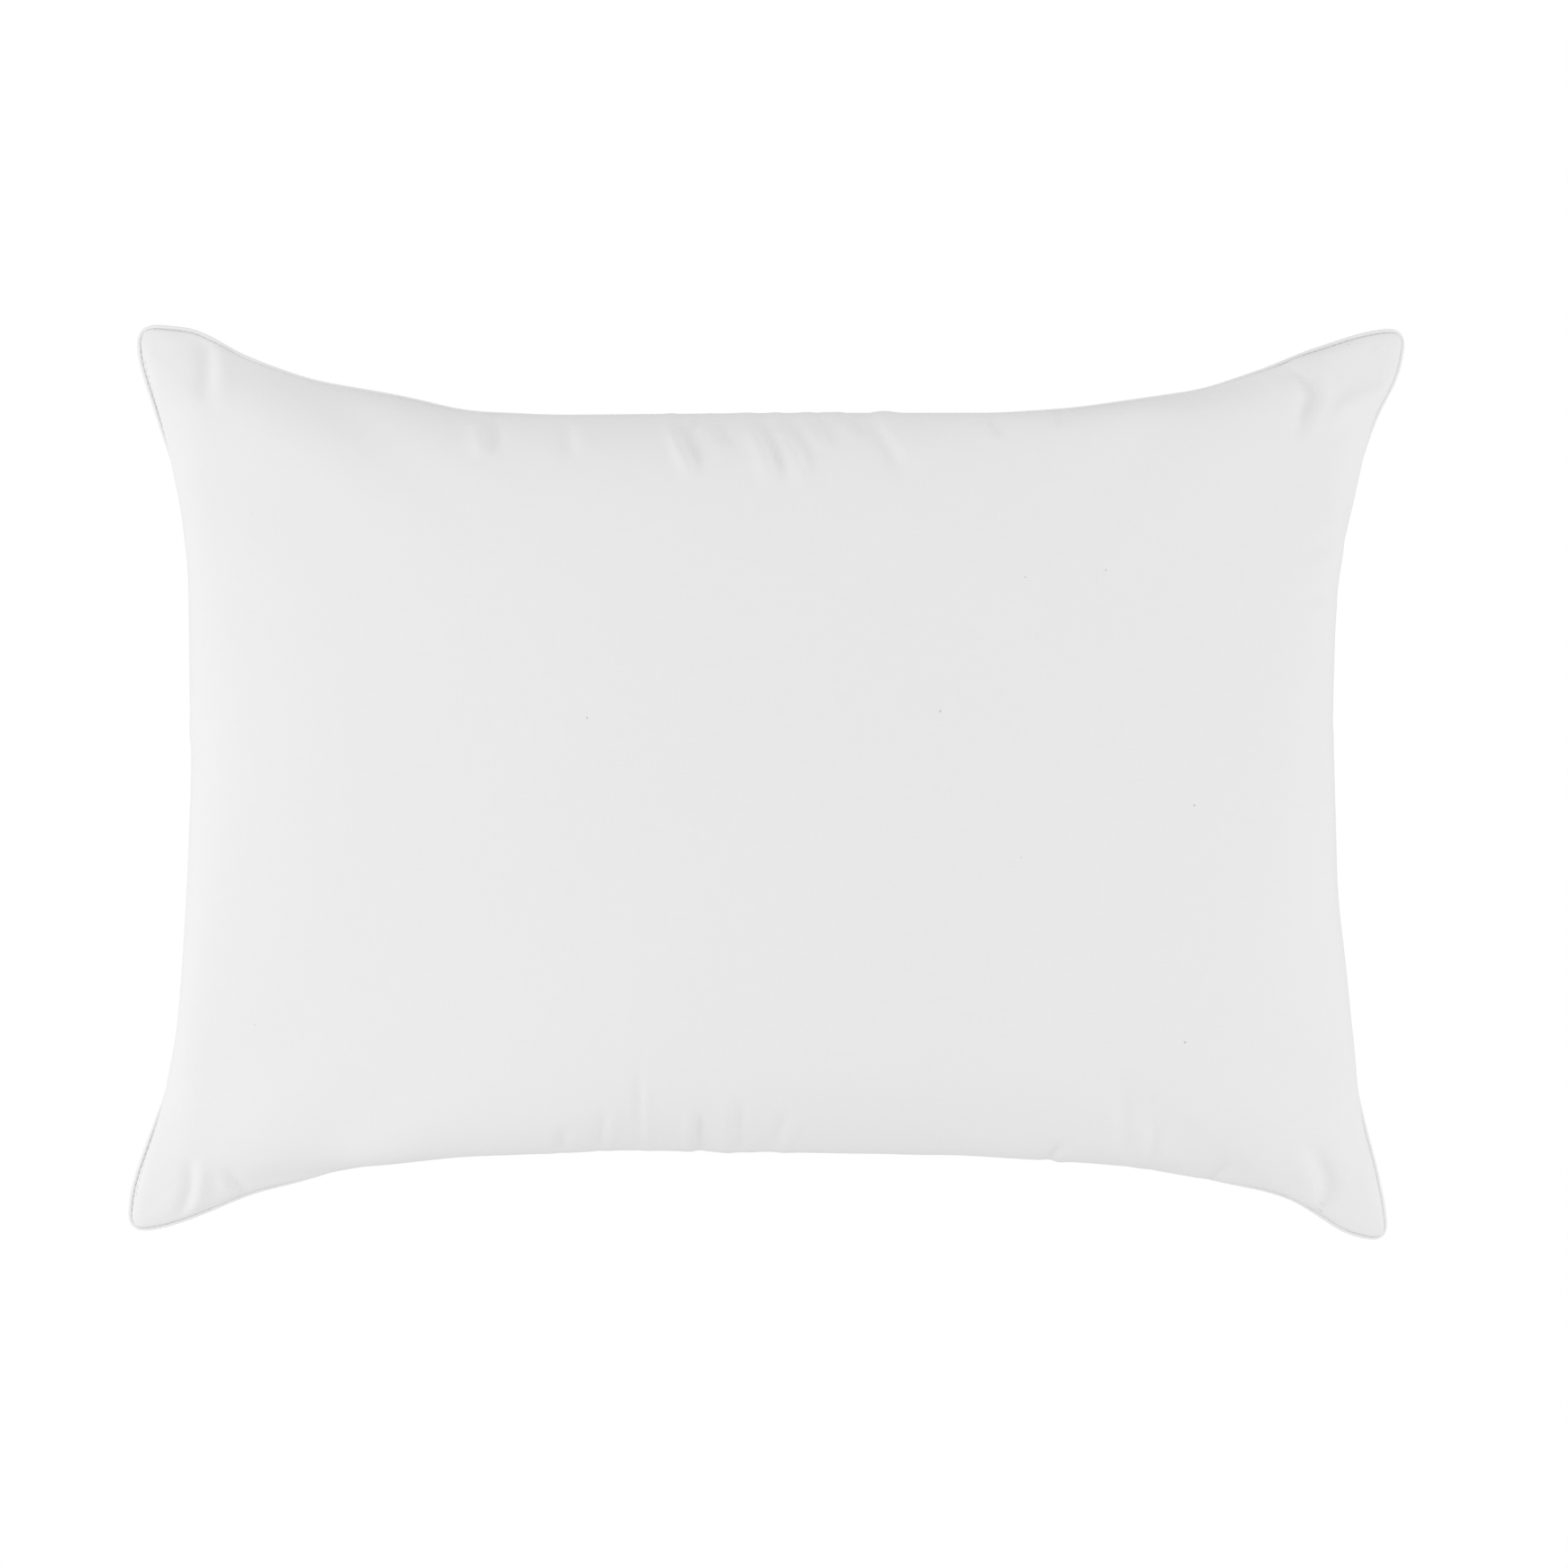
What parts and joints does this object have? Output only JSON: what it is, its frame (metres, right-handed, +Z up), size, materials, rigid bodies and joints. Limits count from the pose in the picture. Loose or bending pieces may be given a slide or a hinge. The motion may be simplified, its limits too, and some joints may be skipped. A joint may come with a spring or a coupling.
{
  "type": "bed pillow",
  "caption": "Plump rectangular bed pillow: piped white cotton ticking, sides drawn in between pointed corners, loose filling, a topstitched closing side.",
  "frame": {"origin": "on the surface the pillow lies on, under the middle of its length and width", "axes": "+X along the length, away from the closing side; +Y across the width; +Z up through the front panel"},
  "size_m": [0.68, 0.487, 0.192],
  "materials": {
    "ticking": "matte",
    "piping": "matte",
    "cord": "matte",
    "thread": "satin",
    "filling": "matte",
    "label": "satin"
  },
  "bodies": {
    "root": {"front_panel": "ticking", "back_panel": "ticking", "piping_cover": "piping", "piping_cord": "cord", "seam_thread": "thread", "closing_thread": "thread", "overlock_thread": "thread", "filling": "filling", "care_label": "label"}
  },
  "joints": []
}
